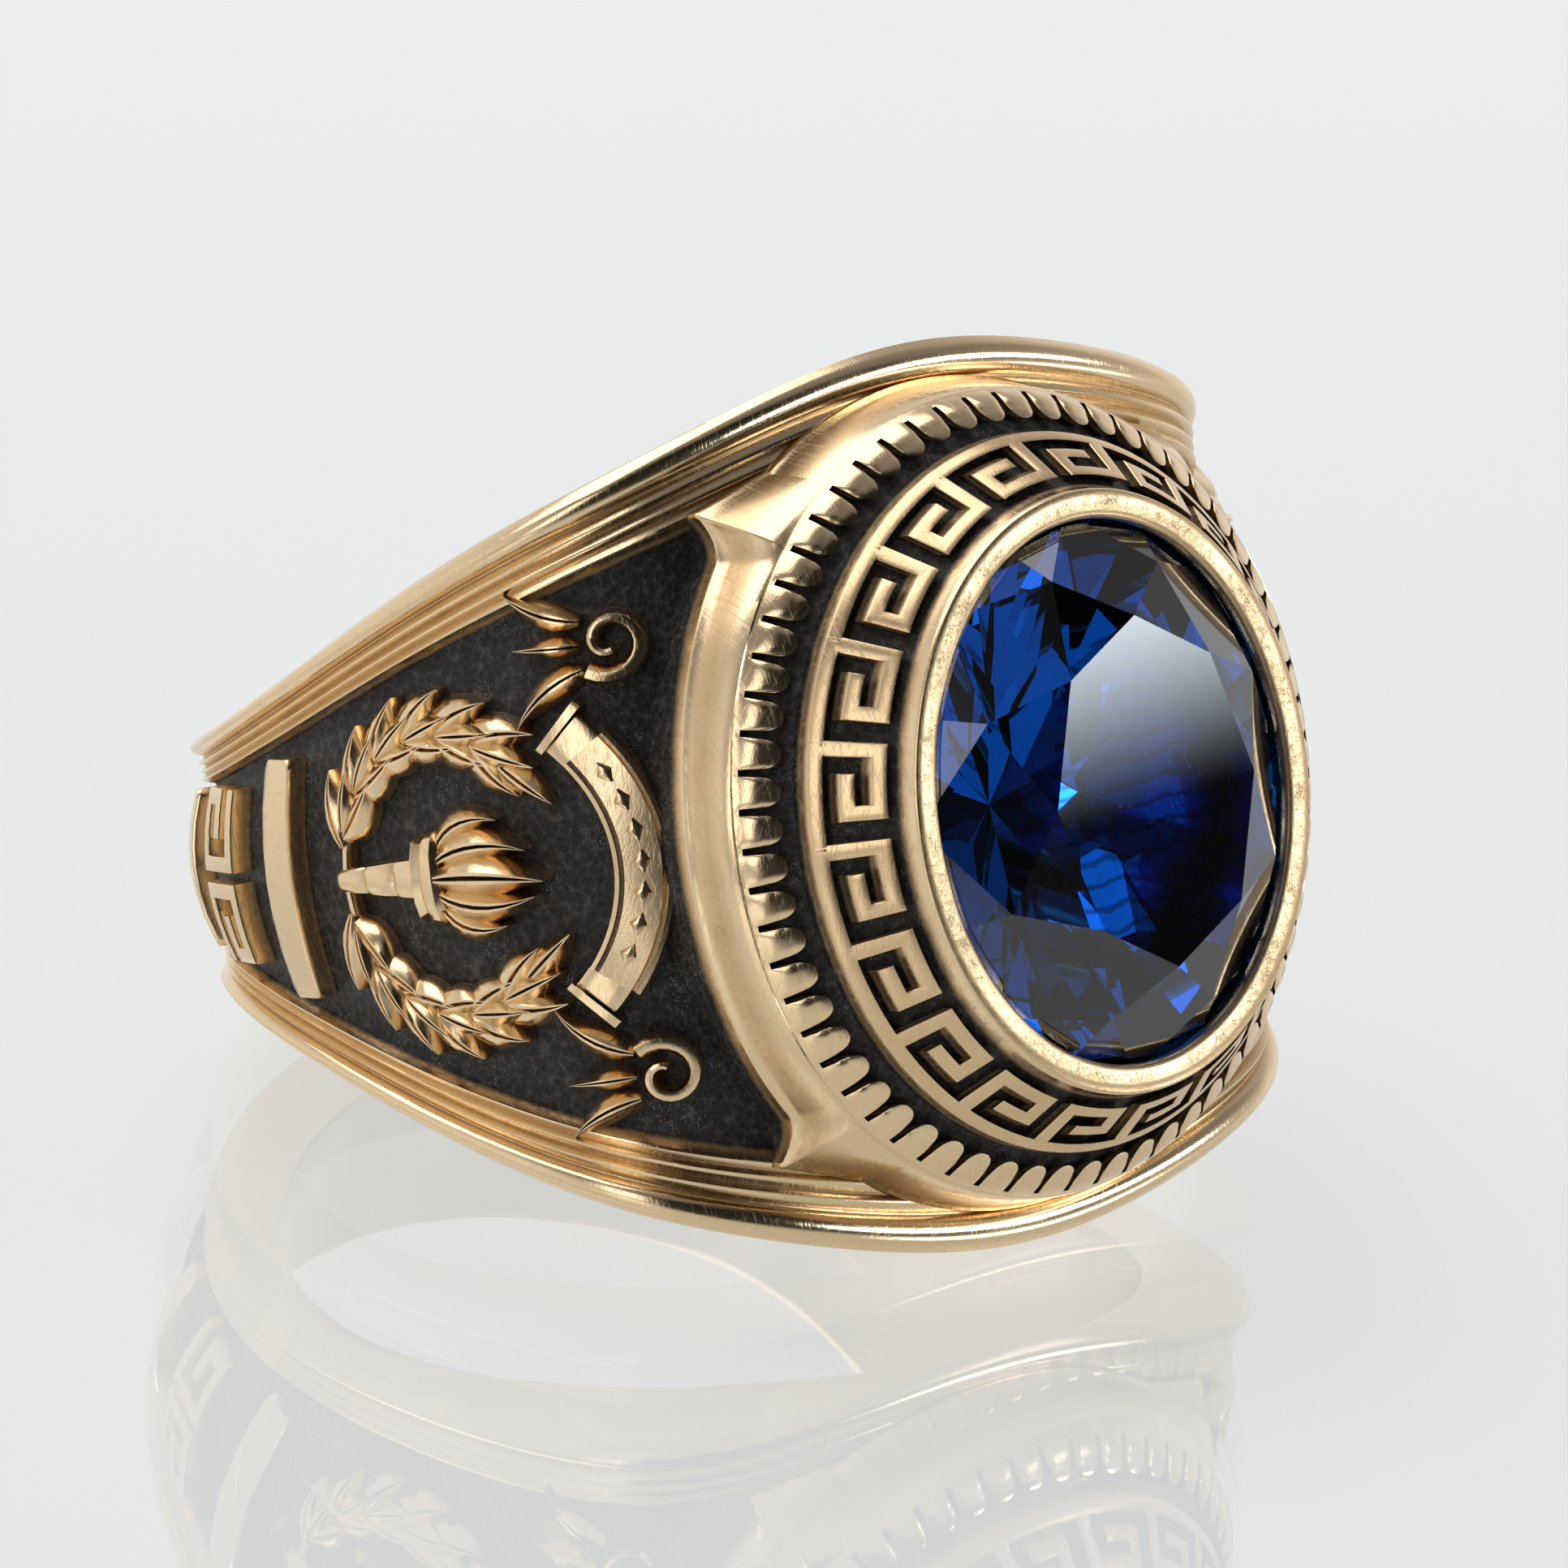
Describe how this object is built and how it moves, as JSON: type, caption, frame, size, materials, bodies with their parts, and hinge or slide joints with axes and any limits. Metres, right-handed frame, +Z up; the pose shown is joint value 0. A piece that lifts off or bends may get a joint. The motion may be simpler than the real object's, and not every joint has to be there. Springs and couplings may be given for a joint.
{
  "type": "class ring",
  "caption": "Heavy cast gold class ring with a faceted oval blue stone in a bezel, lying on its side as it rests.",
  "frame": {"origin": "centre of the bounding box's base, on the surface that the ring lies on", "axes": "+Z up from the surface, -Y towards the stone, which faces forwards and a little up; the finger hole's axis leans from +Z towards +Y by the resting tilt of about 19.3 degrees"},
  "size_m": [0.0232, 0.0272, 0.0185],
  "materials": {
    "gold": "polished yellow gold with dark oxidised recesses",
    "blue_stone": "faceted deep blue stone, polished"
  },
  "bodies": {
    "root": {"ring_body": "gold", "stone": "blue_stone"}
  },
  "joints": []
}
